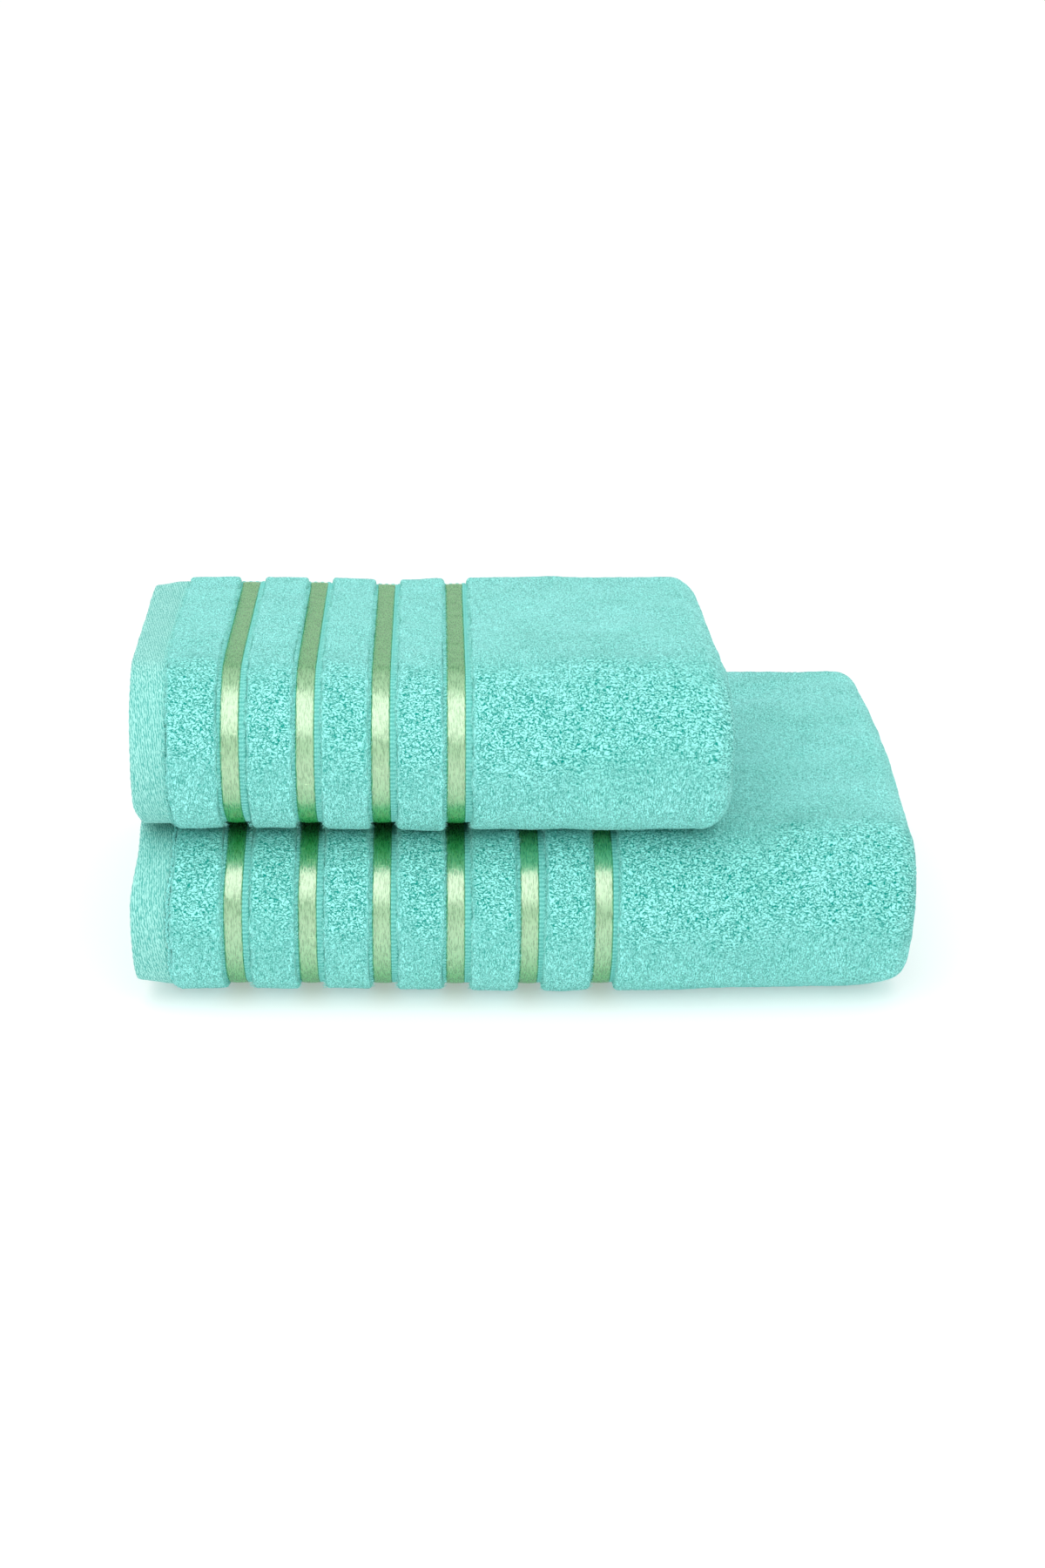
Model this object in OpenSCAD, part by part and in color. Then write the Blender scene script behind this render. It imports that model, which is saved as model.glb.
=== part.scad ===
// Two terry towels folded into a stack: a bath towel with a smaller hand towel lying on it.
// Each towel is one woven cloth. It is first folded along its length into plies, and then rolled
// in three across its width, so that one full-height fold faces the front.
// Frame: origin under the middle of the bath towel, +X away from the end hem, -Y front, +Z up.

/* [Bath towel] */
// Folded length, from the end hem to the lengthwise fold
bath_length = 352; // [320:1:400]
// Folded depth, from the front fold to the back fold
bath_depth = 258; // [220:1:300]
// Height of the folded towel
bath_height = 79.5; // [74:0.5:90]

/* [Hand towel] */
// Folded length, from the end hem to the lengthwise fold
hand_length = 267; // [240:1:300]
// Folded depth, from the front fold to the back fold
hand_depth = 190; // [150:1:210]
// Height of the folded towel
hand_height = 79.5; // [74:0.5:90]

/* [Border of bands] */
// Width of the first terry stripe, next to the end hem
first_stripe_w = 22.8; // [20:0.1:26]
// Width of a flat-woven channel
channel_w = 12.6; // [11:0.1:14]
// Distance from one channel to the next
band_pitch = 33.2; // [30:0.1:34]
// Width of the satin band in the middle of a channel
satin_w = 8.2; // [6:0.1:10]
// How far the satin stands above the ground weave
satin_t = 0.5; // [0.3:0.1:0.8]

/* [Cloth] */
// Thickness of the ground weave
ground_t = 1.2; // [1:0.1:1.6]
// Height of the loop pile on the outside of the towel
pile_h = 3.6; // [3:0.1:4]
// Gap between the piles of neighbouring plies
ply_gap = 0.4; // [0.3:0.1:0.8]
// Gap between the three layers of the rolled towel
layer_gap = 0.9; // [0.6:0.1:1.2]

/* [Hems] */
// Width of an end hem
hem_w = 16.5; // [14:0.5:20]
// Width of a side hem
side_hem_w = 8; // [6:0.5:10]
// Thickness of a hem, folded over and stitched
hem_t = 3.2; // [2.8:0.1:3.4]
// Width of a line of stitching
stitch_w = 0.8; // [0.6:0.1:1.2]
// How far a stitch stands above the hem
stitch_t = 0.3; // [0.2:0.1:0.4]
// Distance of the stitching from the inner edge of a hem
stitch_inset = 1.6; // [1.2:0.1:2.4]

/* [Stack] */
// Space between the two towels
stack_gap = 0.3; // [0.3:0.1:0.6]

/* [Hidden] */
$fn = 96;
HAND_BANDS = 4;
BATH_BANDS = 6;
HAND_PLIES = 3;
BATH_PLIES = 4;
LAYERS = 3;
// How far the plies inside a towel stop short of its end hem
TUCK = 5;
// How far the inner layer reaches into the front fold
INNER_REACH = 4;
// How far a hem reaches past the edge of the ground weave that it wraps
HEM_LIP = 1;
// Turn of one fold
HALF_TURN = 180;

TERRY = "mediumturquoise";
WEAVE = "turquoise";
HEM = "aquamarine";
SATIN = "darkseagreen";
THREAD = "paleturquoise";

// ---- One towel's numbers, kept as [length, depth, height, plies, bands] ----
BATH = [bath_length, bath_depth, bath_height, BATH_PLIES, BATH_BANDS];
HAND = [hand_length, hand_depth, hand_height, HAND_PLIES, HAND_BANDS];

function length_of(towel) = towel[0];
function depth_of(towel) = towel[1];
function height_of(towel) = towel[2];
function plies_of(towel) = towel[3];
function bands_of(towel) = towel[4];

// Thickness of the whole bundle of plies, which is rolled in three layers
function bundle_t(towel) = (height_of(towel) - (LAYERS - 1) * layer_gap) / LAYERS;
// Height of the pile on the faces that are pressed together
function inner_pile_h(towel) =
    (bundle_t(towel) - pile_h - plies_of(towel) * ground_t) / (2 * plies_of(towel) - 1);
function ply_pitch(towel) = ground_t + 2 * inner_pile_h(towel);
// Middle of the ground weave of ply i, where ply 0 is the outermost one
function ply_n(towel, i) = bundle_t(towel) / 2 - pile_h - ground_t / 2 - i * ply_pitch(towel);
function last_ply(towel) = plies_of(towel) - 1;

// Where the plain terry field starts, and where each stripe and channel does, from the end hem
function channel_x(i) = hem_w + first_stripe_w + (i - 1) * band_pitch;
function stripe_x(i) = i == 1 ? hem_w : channel_x(i - 1) + channel_w;
function stripe_w(i) = channel_x(i) - stripe_x(i);
function field_x(towel) = channel_x(bands_of(towel)) + channel_w;

// Centre of the lengthwise fold that wraps the bundle
function wrap_x(towel) = length_of(towel) - bundle_t(towel) / 2;
function wrap_n(towel) = (ply_n(towel, 0) + ply_n(towel, last_ply(towel))) / 2;
function wrap_r(towel) = (ply_n(towel, 0) - ply_n(towel, last_ply(towel))) / 2;
// Centre of the small fold at the end-hem side, which joins the last two plies
function tuck_x(towel) = TUCK + ply_pitch(towel) / 2;
// Radii of the folds across the width, to the middle of the bundle
function front_r(towel) = (height_of(towel) - bundle_t(towel)) / 2;
function back_r(towel) = (bundle_t(towel) + layer_gap) / 2;
// Centres of those folds
function front_y(towel) = front_r(towel) + bundle_t(towel) / 2;
function back_y(towel) = depth_of(towel) - back_r(towel) - bundle_t(towel) / 2;
// The free ply ends at the wrapping fold in a towel in thirds, and at the end hem in quarters
function far_end_x(towel) = plies_of(towel) == HAND_PLIES ? wrap_x(towel) : TUCK;
function far_hem_x(towel) = far_end_x(towel) - (plies_of(towel) == HAND_PLIES ? hem_w : 0);

// ---- Plane shapes, with x along the towel and y through the bundle, outside face up ----
module strip(x0, x1, n, t) {
    translate([x0, n - t / 2])
        square([x1 - x0, t]);
}

// Half a ring, open towards -x, or towards +x where side is -1
module half_ring(x, n, r, t, side) {
    translate([x, n])
        intersection() {
            difference() {
                circle(r = r + t / 2);
                circle(r = r - t / 2);
            }
            translate([side > 0 ? 0 : -(r + t), -(r + t)])
                square([r + t, 2 * (r + t)]);
        }
}

// The whole cloth as one folded ribbon of thickness t, which ends just inside its two end hems
module folded_ribbon(towel, t) {
    last = last_ply(towel);
    in_quarters = plies_of(towel) == BATH_PLIES;
    tuck_n = ply_n(towel, last) + ply_pitch(towel) / 2;
    tuck_r = ply_pitch(towel) / 2;
    middle_end_x = in_quarters ? wrap_x(towel) : far_end_x(towel) - HEM_LIP;
    strip(HEM_LIP, wrap_x(towel), ply_n(towel, 0), t);
    half_ring(wrap_x(towel), wrap_n(towel), wrap_r(towel), t, 1);
    strip(tuck_x(towel), wrap_x(towel), ply_n(towel, last), t);
    half_ring(tuck_x(towel), tuck_n, tuck_r, t, -1);
    strip(tuck_x(towel), middle_end_x, ply_n(towel, last - 1), t);
    if (in_quarters) {
        half_ring(wrap_x(towel), tuck_n + ply_pitch(towel), tuck_r, t, 1);
        strip(far_end_x(towel) + HEM_LIP, wrap_x(towel), ply_n(towel, 1), t);
    }
}

// The outline of the whole bundle, with the wrapping fold round
module bundle_outline(towel) {
    half = bundle_t(towel) / 2;
    translate([0, -half])
        square([wrap_x(towel), 2 * half]);
    translate([wrap_x(towel), 0])
        circle(r = half);
}

// Everything inside the middle of the outermost ground weave
module inside_of_wrap(towel) {
    translate([0, wrap_n(towel) - wrap_r(towel)])
        square([wrap_x(towel), 2 * wrap_r(towel)]);
    translate([wrap_x(towel), wrap_n(towel)])
        circle(r = wrap_r(towel));
}

// All the loop pile of a towel, both faces, with the slits between its plies
module pile_section(towel) {
    difference() {
        union() {
            folded_ribbon(towel, ply_pitch(towel) - ply_gap);
            difference() {
                bundle_outline(towel);
                inside_of_wrap(towel);
            }
        }
        folded_ribbon(towel, ground_t);
    }
}

// The stretch of the outermost ply from x0 to x1, on both faces
module outer_ply_window(towel, x0, x1) {
    low = ply_n(towel, 0) - ply_pitch(towel) / 2;
    translate([x0, low])
        square([x1 - x0, bundle_t(towel) / 2 - low + 1]);
}

module stripe_section(towel, i) {
    intersection() {
        pile_section(towel);
        outer_ply_window(towel, stripe_x(i), stripe_x(i) + stripe_w(i));
    }
}

// The stretch of the free ply that its far end hem takes, height h through the bundle
module far_end_window(towel, h) {
    translate([far_hem_x(towel), ply_n(towel, 1) - h / 2])
        square([hem_w, h]);
}

// All the pile that is not a stripe of the border
module field_section(towel) {
    difference() {
        pile_section(towel);
        outer_ply_window(towel, 0, field_x(towel));
        far_end_window(towel, ply_pitch(towel));
        translate([0, -bundle_t(towel)])
            square([TUCK, 2 * bundle_t(towel)]);
    }
}

module satin_section(towel, i) {
    x0 = channel_x(i) + (channel_w - satin_w) / 2;
    n0 = ply_n(towel, 0) + ground_t / 2;
    translate([x0, n0])
        square([satin_w, satin_t]);
}

// A hem doubles back round the edge of the ground weave
module hem_section(towel, ply, x0) {
    difference() {
        strip(x0, x0 + hem_w, ply_n(towel, ply), hem_t);
        folded_ribbon(towel, ground_t);
    }
}

module stitch_section(towel) {
    x0 = hem_w - stitch_inset - stitch_w;
    translate([x0, ply_n(towel, 0) + hem_t / 2])
        square([stitch_w, stitch_t]);
}

// ---- Carrying a plane shape along the roll of the towel ----
// A flat layer from y0 to y1, with its middle at height z and its outside face up or down
module flat_layer(y0, y1, z, outside_up) {
    translate([0, y1, z])
        rotate([90, 0, 0])
            linear_extrude(height = y1 - y0)
                mirror([0, outside_up ? 0 : 1, 0])
                    children();
}

// Half a turn of the bundle round an axis along X, from angle a, with its outside face outwards
module fold(y, z, r, a) {
    translate([0, y, z])
        rotate([90, 0, 90])
            rotate([0, 0, a])
                rotate_extrude(angle = HALF_TURN)
                    translate([r, 0])
                        mirror([0, 1, 0])
                            rotate([0, 0, -90])
                                children();
}

// The inner layer, back fold, bottom layer, front fold and top layer. trim shortens the two free
// edges, so that the side hems have their place
module rolled(towel, trim) {
    t = bundle_t(towel);
    middle_z = height_of(towel) / 2;
    flat_layer(front_y(towel) - INNER_REACH + trim, back_y(towel), middle_z, true) children();
    fold(back_y(towel), t / 2 + back_r(towel), back_r(towel), -90) children();
    flat_layer(front_y(towel), back_y(towel), t / 2, false) children();
    fold(front_y(towel), middle_z, front_r(towel), 90) children();
    flat_layer(front_y(towel), depth_of(towel) - trim, height_of(towel) - t / 2, true) children();
}

module at_bath() {
    translate([-bath_length / 2, -bath_depth / 2, 0])
        children();
}

module at_hand() {
    translate([-bath_length / 2, -bath_depth / 2, bath_height + stack_gap])
        children();
}

// ---- Sub-parts of a towel ----
module ground_cloth(towel) {
    color(WEAVE)
        rolled(towel, HEM_LIP)
            folded_ribbon(towel, ground_t);
}

module pile_field(towel) {
    color(TERRY)
        rolled(towel, side_hem_w)
            field_section(towel);
}

module pile_stripe(towel, i) {
    color(TERRY)
        rolled(towel, side_hem_w)
            stripe_section(towel, i);
}

module satin_band(towel, i) {
    color(SATIN)
        rolled(towel, side_hem_w)
            satin_section(towel, i);
}

module end_hem(towel) {
    color(HEM)
        rolled(towel, 0)
            hem_section(towel, 0, 0);
}

module far_end_hem(towel) {
    color(HEM)
        rolled(towel, 0)
            hem_section(towel, 1, far_hem_x(towel));
}

// A side hem follows every ply, between the two end hems
module side_hem_section(towel) {
    difference() {
        folded_ribbon(towel, hem_t);
        outer_ply_window(towel, 0, hem_w);
        far_end_window(towel, ply_pitch(towel));
    }
}

// The hem spans y0 to y1. The ground weave that it wraps is taken out from cloth_y0 to cloth_y1
module side_hem(towel, z, y0, y1, cloth_y0, cloth_y1) {
    color(HEM)
        difference() {
            flat_layer(y0, y1, z, true)
                side_hem_section(towel);
            flat_layer(cloth_y0, cloth_y1, z, true)
                folded_ribbon(towel, ground_t);
        }
}

module outer_side_hem(towel) {
    y1 = depth_of(towel);
    y0 = y1 - side_hem_w;
    side_hem(towel, height_of(towel) - bundle_t(towel) / 2, y0, y1, y0 - 1, y1 - HEM_LIP);
}

module inner_side_hem(towel) {
    y0 = front_y(towel) - INNER_REACH;
    y1 = y0 + side_hem_w;
    side_hem(towel, height_of(towel) / 2, y0, y1, y0 + HEM_LIP, y1 + 1);
}

module hem_stitches(towel) {
    color(THREAD)
        rolled(towel, 0)
            stitch_section(towel);
}

at_bath() ground_cloth(BATH);  // bath_ground_cloth
at_bath() pile_field(BATH);  // bath_pile_field
for (i = [1 : BATH_BANDS]) {
    at_bath() pile_stripe(BATH, i);
    at_bath() satin_band(BATH, i);
}
at_bath() end_hem(BATH);  // bath_end_hem
at_bath() far_end_hem(BATH);  // bath_far_end_hem
at_bath() outer_side_hem(BATH);  // bath_outer_side_hem
at_bath() inner_side_hem(BATH);  // bath_inner_side_hem
at_bath() hem_stitches(BATH);  // bath_hem_stitches
at_hand() ground_cloth(HAND);  // hand_ground_cloth
at_hand() pile_field(HAND);  // hand_pile_field
for (i = [1 : HAND_BANDS]) {
    at_hand() pile_stripe(HAND, i);
    at_hand() satin_band(HAND, i);
}
at_hand() end_hem(HAND);  // hand_end_hem
at_hand() far_end_hem(HAND);  // hand_far_end_hem
at_hand() outer_side_hem(HAND);  // hand_outer_side_hem
at_hand() inner_side_hem(HAND);  // hand_inner_side_hem
at_hand() hem_stitches(HAND);  // hand_hem_stitches
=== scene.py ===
"""Two folded terry towels in a stack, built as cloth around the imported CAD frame.

Each towel is described by two paths. The ply path runs along the towel, from its border hem through
the lengthwise folds, and the roll path runs across it, over the top, down the front fold and
back. A point of the cloth is (along, across, height): a distance on each path, and a height over
the middle of the ground weave. Lengths inside this script are millimetres, and are made metres when
a mesh is written.
"""
import math

import bpy
import numpy as np
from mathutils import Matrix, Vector


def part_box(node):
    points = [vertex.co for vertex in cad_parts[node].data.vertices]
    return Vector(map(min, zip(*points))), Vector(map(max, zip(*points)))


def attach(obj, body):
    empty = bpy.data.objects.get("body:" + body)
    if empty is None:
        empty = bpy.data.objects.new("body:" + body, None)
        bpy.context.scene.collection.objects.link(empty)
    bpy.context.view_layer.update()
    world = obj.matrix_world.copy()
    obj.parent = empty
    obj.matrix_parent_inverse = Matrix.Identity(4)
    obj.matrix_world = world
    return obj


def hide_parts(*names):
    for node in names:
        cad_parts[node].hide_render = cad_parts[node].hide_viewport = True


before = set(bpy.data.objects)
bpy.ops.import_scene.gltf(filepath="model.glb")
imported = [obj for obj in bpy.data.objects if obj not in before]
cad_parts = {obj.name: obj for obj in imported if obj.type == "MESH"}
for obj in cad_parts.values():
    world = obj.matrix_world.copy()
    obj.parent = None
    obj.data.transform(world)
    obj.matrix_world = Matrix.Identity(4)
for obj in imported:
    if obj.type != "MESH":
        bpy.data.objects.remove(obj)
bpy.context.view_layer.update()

MM = 0.001
HALF_PI = math.pi / 2

# ---- Sizes of the cloth, in millimetres, as part.scad has them ----
GROUND_T = 1.2
LAYERS = 3
LAYER_GAP = 0.9
TUCK = 5.0
INNER_REACH = 4.0
HEM_LIP = 1.0
HEM_T = 3.2
PLY_GAP = 0.4
PILE_FROM_EDGE = 6.6  # where the pile starts, in from a side edge (not in part.scad)

# ---- Mesh spacing, in millimetres ----
FINE = 0.58
UNDER = 3.0
BACK = 1.2
HIDDEN = 4.0
PLY_END = 1.2

# ---- Loops of the terry ----
LOOP_PITCH = 1.4
LOOP_RISE = 0.5
TUFT_RISE = 0.15
EDGE_WAVE = 0.55

# ---- Where the pile opens, as shares of the front fold's turn, and how open it is elsewhere ----
OPEN_AT = 0.26
OPEN_ABOVE = 0.30
OPEN_BELOW = 0.33
OPEN_FLAT = 0.36


# ---------------------------------------------------------------------------------------------
# Noise that is the same on every run
# ---------------------------------------------------------------------------------------------
NOISE_TABLE = np.random.default_rng(17).random((512, 512, 4))


def lattice(column, row, channel):
    return NOISE_TABLE[column % 512, row % 512, channel]


def smooth_noise(x, y, size, channel=0):
    """Value noise from -1 to 1, with lumps of about the given size."""
    x, y = np.broadcast_arrays(np.asarray(x, float) / size, np.asarray(y, float) / size)
    column, row = np.floor(x).astype(int), np.floor(y).astype(int)
    fx, fy = x - column, y - row
    fx, fy = fx * fx * (3 - 2 * fx), fy * fy * (3 - 2 * fy)
    low = lattice(column, row, channel) * (1 - fx) + lattice(column + 1, row, channel) * fx
    high = lattice(column, row + 1, channel) * (1 - fx) + lattice(column + 1, row + 1, channel) * fx
    return 2 * (low * (1 - fy) + high * fy) - 1


def loops(x, y, pitch):
    """Height from 0 to 1 of a field of small lying loops, each turned its own way."""
    column, row = np.floor(x / pitch).astype(int), np.floor(y / pitch).astype(int)
    nearest = np.full(x.shape, 9.0)
    for step_x in (-1, 0, 1):
        for step_y in (-1, 0, 1):
            c, r = column + step_x, row + step_y
            dx = x / pitch - c - 0.5 - 0.62 * (lattice(c, r, 0) - 0.5)
            dy = y / pitch - r - 0.5 - 0.62 * (lattice(c, r, 1) - 0.5)
            turn = math.pi * lattice(c, r, 2)
            across = np.cos(turn) * dx + np.sin(turn) * dy
            along = np.cos(turn) * dy - np.sin(turn) * dx
            nearest = np.minimum(nearest, (1.3 * across) ** 2 + (0.82 * along) ** 2)
    return np.clip(1 - nearest / 0.42, 0, 1)


def ease(value, low, high):
    """0 below low, 1 above high, and smooth between."""
    t = np.clip((value - low) / (high - low), 0, 1)
    return t * t * (3 - 2 * t)


# ---------------------------------------------------------------------------------------------
# Paths and towels
# ---------------------------------------------------------------------------------------------
class Path:
    """Straight stretches and half turns in one plane. The cloth's outer face is along the normal."""

    def __init__(self):
        self.parts = []
        self.length = 0.0

    def line(self, start, end, normal):
        start, end = np.array(start, float), np.array(end, float)
        size = np.linalg.norm(end - start)
        self.parts.append((self.length, size, self._on_line, (start, (end - start) / size, normal)))
        self.length += size

    def arc(self, centre, radius, first, last, side=1):
        """A turn from angle first to angle last. side is -1 where the outer face is inside it."""
        size = abs(last - first) * radius
        turn = (np.array(centre, float), radius, first, (last - first) / size, side)
        self.parts.append((self.length, size, self._on_arc, turn))
        self.length += size

    @staticmethod
    def _on_line(distance, start, direction, normal):
        return start + distance[:, None] * direction, np.broadcast_to(normal, (len(distance), 2))

    @staticmethod
    def _on_arc(distance, centre, radius, first, rate, side):
        angle = first + distance * rate
        outward = np.stack([np.cos(angle), np.sin(angle)], axis=1)
        return centre + radius * outward, side * outward

    def at(self, distance):
        flat = np.ravel(distance)
        points, normals = np.zeros((flat.size, 2)), np.zeros((flat.size, 2))
        last = len(self.parts) - 1
        for index, (begin, size, place, facts) in enumerate(self.parts):
            here = np.ones(flat.size, bool)
            here &= (flat >= begin) if index > 0 else True
            here &= (flat < begin + size) if index < last else True
            points[here], normals[here] = place(flat[here] - begin, *facts)
        shape = np.shape(distance) + (2,)
        return points.reshape(shape), normals.reshape(shape)


class Towel:
    """One folded towel, measured from its CAD nodes."""

    def __init__(self, name, plies, bands, flat, lie, top_step, fringe_w):
        self.name, self.plies, self.bands, self.flat = name, plies, bands, flat
        self.lie, self.top_step, self.fringe_w = lie, top_step, fringe_w
        self.body = name + "_towel"
        hem = [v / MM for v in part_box(name + "_end_hem")[0]]
        stripe_low, stripe_high = (np.array(v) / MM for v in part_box(name + "_pile_stripe_1"))
        self.origin = np.array([hem[0], stripe_low[1], stripe_low[2]])
        self.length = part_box(name + "_pile_field")[1][0] / MM - hem[0]
        self.depth = stripe_high[1] - stripe_low[1]
        self.height = stripe_high[2] - stripe_low[2]
        self.hem_w = stripe_low[0] - hem[0]
        self._measure_section()
        self.ply_path = self._ply_path()
        self.roll_path = self._roll_path()

    def along(self, node):
        """The stretch of a node on the outermost ply, as distances along the ply path."""
        low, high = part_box(f"{self.name}_{node}")
        return low[0] / MM - self.origin[0] - HEM_LIP, high[0] / MM - self.origin[0] - HEM_LIP

    def field_start(self):
        """Where the plain field begins, as far from the last satin band as a stripe is from its own."""
        gap = self.along("satin_band_1")[0] - self.along("pile_stripe_1")[1]
        return self.along(f"satin_band_{self.bands}")[1] + gap

    def _measure_section(self):
        self.bundle = (self.height - (LAYERS - 1) * LAYER_GAP) / LAYERS
        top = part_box(f"{self.name}_pile_stripe_1")[1][2]
        hem_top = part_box(f"{self.name}_end_hem")[1][2]
        self.pile = (top - hem_top) / MM + HEM_T / 2 - GROUND_T / 2
        spare = self.bundle - self.pile - self.plies * GROUND_T
        self.inner_pile = spare / (2 * self.plies - 1)
        self.pitch = GROUND_T + 2 * self.inner_pile
        first = self.bundle / 2 - self.pile - GROUND_T / 2
        self.ply_n = [first - i * self.pitch for i in range(self.plies)]

    def _ply_path(self):
        path, n, wrap_x = Path(), self.ply_n, self.length - self.bundle / 2
        up, down, tuck_x = (0, 1), (0, -1), TUCK + self.pitch / 2
        path.line((HEM_LIP, n[0]), (wrap_x, n[0]), up)
        self.wrap_start = path.length
        path.arc((wrap_x, (n[0] + n[-1]) / 2), (n[0] - n[-1]) / 2, HALF_PI, -HALF_PI)
        self.wrap_end = path.length
        path.line((wrap_x, n[-1]), (tuck_x, n[-1]), down)
        self.tuck_start = path.length
        path.arc((tuck_x, n[-1] + self.pitch / 2), self.pitch / 2, 3 * HALF_PI, HALF_PI)
        self.tuck_end = path.length
        self.turn = None
        if self.plies == 3:
            path.line((tuck_x, n[1]), (wrap_x - HEM_LIP, n[1]), up)
        else:
            path.line((tuck_x, n[2]), (wrap_x, n[2]), up)
            begin = path.length
            path.arc((wrap_x, n[2] + self.pitch / 2), self.pitch / 2, -HALF_PI, HALF_PI, side=-1)
            self.turn = (begin, path.length)
            path.line((wrap_x, n[1]), (TUCK + HEM_LIP, n[1]), down)
        return path

    def _roll_path(self):
        path, t = Path(), self.bundle
        self.front_r, self.back_r = (self.height - t) / 2, (t + LAYER_GAP) / 2
        self.front_y, self.back_y = self.front_r + t / 2, self.depth - self.back_r - t / 2
        middle, top = self.height / 2, self.height - t / 2
        path.line((self.depth, top), (self.front_y, top), (0, 1))
        self.front_start = path.length
        path.arc((self.front_y, middle), self.front_r, HALF_PI, 3 * HALF_PI)
        self.front_end = path.length
        path.line((self.front_y, t / 2), (self.back_y, t / 2), (0, -1))
        self.back_start = path.length
        path.arc((self.back_y, t / 2 + self.back_r), self.back_r, -HALF_PI, HALF_PI)
        self.back_end = path.length
        path.line((self.back_y, middle), (self.front_y - INNER_REACH, middle), (0, 1))
        return path

    def place(self, along, across, height):
        """Metres in the frame of points of the cloth."""
        ply_points, ply_normals = self.ply_path.at(along)
        section = ply_points + height[..., None] * ply_normals
        roll_points, roll_normals = self.roll_path.at(across)
        side = roll_points + section[..., 1:] * roll_normals
        local = np.concatenate([section[..., :1], side], axis=-1).reshape(-1, 3)
        return (self.settle(local) + self.origin) * MM

    def settle(self, local):
        """How the cloth lies: it slumps, bows and wanders a little from its drawn folds."""
        x, y, z = local.T
        up = z / self.height
        front = ease(-y, -1.6 * self.front_y, 0.0)
        out = local + self.lie(self, x, y, z, up, front)
        out[:, 2] += TOP_WANDER * np.sin(x / 37 + 1.3) * np.sin(y / 41 + 0.4) * ease(up, 0.3, 1.0)
        out[:, 1] += FRONT_WANDER * np.sin(x / 53 + 0.8) * np.sin(z / 25 + 0.5) * front
        return out


# How far each part of a towel lies from its drawn fold, in millimetres
TOP_WANDER = 0.9
FRONT_WANDER = 1.1
EDGE_DROOP = 3.6
HEM_REACH = 38.0
HAND_SINK = 2.6
HAND_HOLLOW = 3.2
HAND_RIGHT_DROOP = 3.4
HAND_HEM_UNDER = 4.5
HAND_HEM_IN = 2.0
HAND_HEM_BACK = 4.0
HAND_HEM_CORNER = 5.0
BATH_SWELL = 4.0
BATH_HEM_UNDER_LOAD = 4.0
BATH_HEM_ON_TABLE = 5.0
BATH_HEM_OUT = 1.3
BATH_FAN = 1.5
BATH_FAN_BACK = 8.5
BATH_RECEDE = 4.0
BATH_CORNER_LIFT = 5.0


def free_edge_droop(towel, y, up):
    """The free back edge of the top layer bends down over its last centimetre."""
    return -EDGE_DROOP * ease(y, towel.depth - 13, towel.depth + 2) * ease(up, 0.6, 0.72)


def hand_lie(towel, x, y, z, up, front):
    """The hand towel sinks towards its back edge and draws its hem in under the front."""
    move = np.zeros((len(x), 3))
    back = ease(y, 20.0, towel.depth)
    hollow = HAND_HOLLOW * np.exp(-(((x - 125) / 50) ** 2))
    move[:, 2] = -(HAND_SINK + hollow) * back * up
    move[:, 2] += free_edge_droop(towel, y, up)
    move[:, 2] -= HAND_RIGHT_DROOP * ease(x, 252, 268) * up**2
    hem_side = np.exp(-np.clip(x, 0, None) / HEM_REACH)
    under = ease(-z, -22.0, 0.0)
    drawn_in = front * (HAND_HEM_UNDER * under + HAND_HEM_IN)
    move[:, 0] = hem_side * (drawn_in - HAND_HEM_BACK * back * up)
    move[:, 2] -= HAND_HEM_CORNER * ease(-x, -12, 1) * ease(y, towel.depth - 20, towel.depth) * up
    return move


def bath_lie(towel, x, y, z, up, front):
    """The bath towel swells where the hand towel doesn't press on it, and fans out to the back."""
    move = np.zeros((len(x), 3))
    free = np.maximum(ease(x, 282, 320), ease(y, 200, 235))
    move[:, 2] = BATH_SWELL * free * up + free_edge_droop(towel, y, up)
    hem_side = np.exp(-np.clip(x, 0, None) / HEM_REACH)
    under_load = ease(z, 0.66 * towel.height, towel.height)
    on_table = ease(-z, -14.0, 0.0)
    drawn_in = BATH_HEM_UNDER_LOAD * under_load + BATH_HEM_ON_TABLE * on_table - BATH_HEM_OUT
    move[:, 0] = hem_side * front * drawn_in
    fan = BATH_FAN + BATH_FAN_BACK * ease(y, 0, 190)
    move[:, 0] += ease(x, 190, 352) * ease(up, 0.3, 0.9) * fan
    move[:, 1] = BATH_RECEDE * ease(x, 140, 352) * front * (1 - up)
    rounding = BATH_CORNER_LIFT * ease(x, 318, 358) + BATH_CORNER_LIFT * ease(-x, -14, 2)
    move[:, 2] += rounding * on_table * ease(-y, -2.4 * towel.front_y, -towel.front_y)
    return move


# ---------------------------------------------------------------------------------------------
# Mesh building
# ---------------------------------------------------------------------------------------------
def spaced(begin, end, step):
    return np.linspace(begin, end, max(2, int(round(abs(end - begin) / step)) + 1))


def joined(*stretches):
    """Stretches of positions end to end, without the doubled points."""
    return np.concatenate([s[:-1] for s in stretches[:-1]] + [stretches[-1]])


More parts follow.
